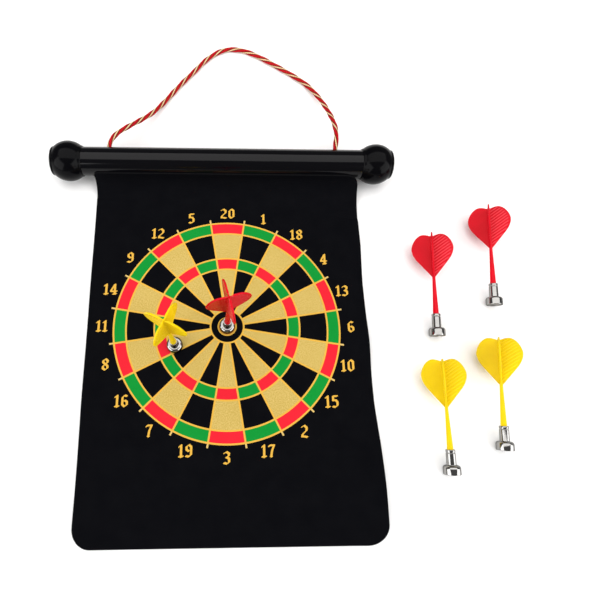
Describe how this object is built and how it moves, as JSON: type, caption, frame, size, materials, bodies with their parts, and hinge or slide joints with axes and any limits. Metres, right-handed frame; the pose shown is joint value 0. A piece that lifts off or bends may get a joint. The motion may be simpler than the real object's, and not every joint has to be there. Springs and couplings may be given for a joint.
{
  "type": "magnetic dartboard",
  "caption": "Roll-up magnetic dartboard: a printed soft magnetic sheet on a black tube with ball knobs and a hanging cord, with magnetic darts on it and beside it.",
  "frame": {"origin": "under the bull's-eye, on the sheet's underside, on the surface the board lies on", "axes": "+X to the board's right, +Y to its top edge with the tube, +Z out of its face"},
  "size_m": [0.5108, 0.5836, 0.1137],
  "materials": {
    "sheet_core": "matt, slightly grained",
    "sheet_face": "black flock with a printed target",
    "tape": "double-sided tape",
    "tube_plastic": "glossy black",
    "knob_plastic": "glossy black moulding",
    "cord": "twisted red yarn with a thin cream strand",
    "dart_metal": "bright nickel plate",
    "dart_magnet": "dull nickel-plated magnet",
    "red_plastic": "glossy red moulding",
    "yellow_plastic": "glossy yellow moulding"
  },
  "bodies": {
    "board": {"sheet_core": "sheet_core", "sheet_core_top": "sheet_core", "sheet_face": "sheet_face", "lap_tape": "tape", "top_tube": "tube_plastic", "ball_knob_left": "knob_plastic", "ball_knob_right": "knob_plastic", "knob_cap_left": "knob_plastic", "knob_cap_right": "knob_plastic", "cord_end_left": "cord", "cord_end_right": "cord"},
    "strip_01": {"roll_strip_01": "sheet_core"},
    "strip_02": {"roll_strip_02": "sheet_core"},
    "strip_03": {"roll_strip_03": "sheet_core"},
    "strip_04": {"roll_strip_04": "sheet_core"},
    "strip_05": {"roll_strip_05": "sheet_core"},
    "strip_06": {"roll_strip_06": "sheet_core"},
    "strip_07": {"roll_strip_07": "sheet_core"},
    "strip_08": {"roll_strip_08": "sheet_core"},
    "strip_09": {"roll_strip_09": "sheet_core"},
    "strip_10": {"roll_strip_10": "sheet_core"},
    "cord": {"hanging_cord": "cord"},
    "red_dart_1": {"red_dart_1_head": "dart_metal", "red_dart_1_magnet": "dart_magnet", "red_dart_1_flight": "red_plastic"},
    "yellow_dart_1": {"yellow_dart_1_head": "dart_metal", "yellow_dart_1_magnet": "dart_magnet", "yellow_dart_1_flight": "yellow_plastic"},
    "red_dart_2": {"red_dart_2_head": "dart_metal", "red_dart_2_magnet": "dart_magnet", "red_dart_2_flight": "red_plastic"},
    "red_dart_3": {"red_dart_3_head": "dart_metal", "red_dart_3_magnet": "dart_magnet", "red_dart_3_flight": "red_plastic"},
    "yellow_dart_2": {"yellow_dart_2_head": "dart_metal", "yellow_dart_2_magnet": "dart_magnet", "yellow_dart_2_flight": "yellow_plastic"},
    "yellow_dart_3": {"yellow_dart_3_head": "dart_metal", "yellow_dart_3_magnet": "dart_magnet", "yellow_dart_3_flight": "yellow_plastic"}
  },
  "joints": [
    {"name": "roll_01", "type": "hinge", "parent": "board", "child": "strip_01", "pos_m": [0.0015, -0.08015, 0.0016], "axis": [-1, 0, 0], "range_deg": [0, 24]},
    {"name": "roll_02", "type": "hinge", "parent": "strip_01", "child": "strip_02", "pos_m": [0.0015, -0.0936, 0.0016], "axis": [-1, 0, 0], "range_deg": [0, 26.22]},
    {"name": "roll_03", "type": "hinge", "parent": "strip_02", "child": "strip_03", "pos_m": [0.0015, -0.10705, 0.0016], "axis": [-1, 0, 0], "range_deg": [0, 28.44]},
    {"name": "roll_04", "type": "hinge", "parent": "strip_03", "child": "strip_04", "pos_m": [0.0015, -0.1205, 0.0016], "axis": [-1, 0, 0], "range_deg": [0, 30.67]},
    {"name": "roll_05", "type": "hinge", "parent": "strip_04", "child": "strip_05", "pos_m": [0.0015, -0.13395, 0.0016], "axis": [-1, 0, 0], "range_deg": [0, 32.89]},
    {"name": "roll_06", "type": "hinge", "parent": "strip_05", "child": "strip_06", "pos_m": [0.0015, -0.1474, 0.0016], "axis": [-1, 0, 0], "range_deg": [0, 35.11]},
    {"name": "roll_07", "type": "hinge", "parent": "strip_06", "child": "strip_07", "pos_m": [0.0015, -0.16085, 0.0016], "axis": [-1, 0, 0], "range_deg": [0, 37.33]},
    {"name": "roll_08", "type": "hinge", "parent": "strip_07", "child": "strip_08", "pos_m": [0.0015, -0.1743, 0.0016], "axis": [-1, 0, 0], "range_deg": [0, 39.56]},
    {"name": "roll_09", "type": "hinge", "parent": "strip_08", "child": "strip_09", "pos_m": [0.0015, -0.18775, 0.0016], "axis": [-1, 0, 0], "range_deg": [0, 41.78]},
    {"name": "roll_10", "type": "hinge", "parent": "strip_09", "child": "strip_10", "pos_m": [0.0015, -0.2012, 0.0016], "axis": [-1, 0, 0], "range_deg": [0, 44]},
    {"name": "cord_swing", "type": "hinge", "parent": "board", "child": "cord", "pos_m": [-0.00625, 0.20458, 0.0307], "axis": [1, 0, 0], "range_deg": [0, 100]},
    {"name": "pull_red_dart_1", "type": "slide", "parent": "board", "child": "red_dart_1", "axis": [0, 0, 1], "range_m": [0, 0.15]},
    {"name": "pull_yellow_dart_1", "type": "slide", "parent": "board", "child": "yellow_dart_1", "axis": [0, 0, 1], "range_m": [0, 0.15]},
    {"name": "pull_red_dart_2", "type": "slide", "parent": "board", "child": "red_dart_2", "axis": [0, 0, 1], "range_m": [0, 0.15]},
    {"name": "pull_red_dart_3", "type": "slide", "parent": "board", "child": "red_dart_3", "axis": [0, 0, 1], "range_m": [0, 0.15]},
    {"name": "pull_yellow_dart_2", "type": "slide", "parent": "board", "child": "yellow_dart_2", "axis": [0, 0, 1], "range_m": [0, 0.15]},
    {"name": "pull_yellow_dart_3", "type": "slide", "parent": "board", "child": "yellow_dart_3", "axis": [0, 0, 1], "range_m": [0, 0.15]}
  ],
  "couplings": [
    {"joint": "roll_02", "follows": "roll_01", "ratio": 1.0926},
    {"joint": "roll_03", "follows": "roll_01", "ratio": 1.1852},
    {"joint": "roll_04", "follows": "roll_01", "ratio": 1.2778},
    {"joint": "roll_05", "follows": "roll_01", "ratio": 1.3704},
    {"joint": "roll_06", "follows": "roll_01", "ratio": 1.463},
    {"joint": "roll_07", "follows": "roll_01", "ratio": 1.5556},
    {"joint": "roll_08", "follows": "roll_01", "ratio": 1.6481},
    {"joint": "roll_09", "follows": "roll_01", "ratio": 1.7407},
    {"joint": "roll_10", "follows": "roll_01", "ratio": 1.8333}
  ]
}
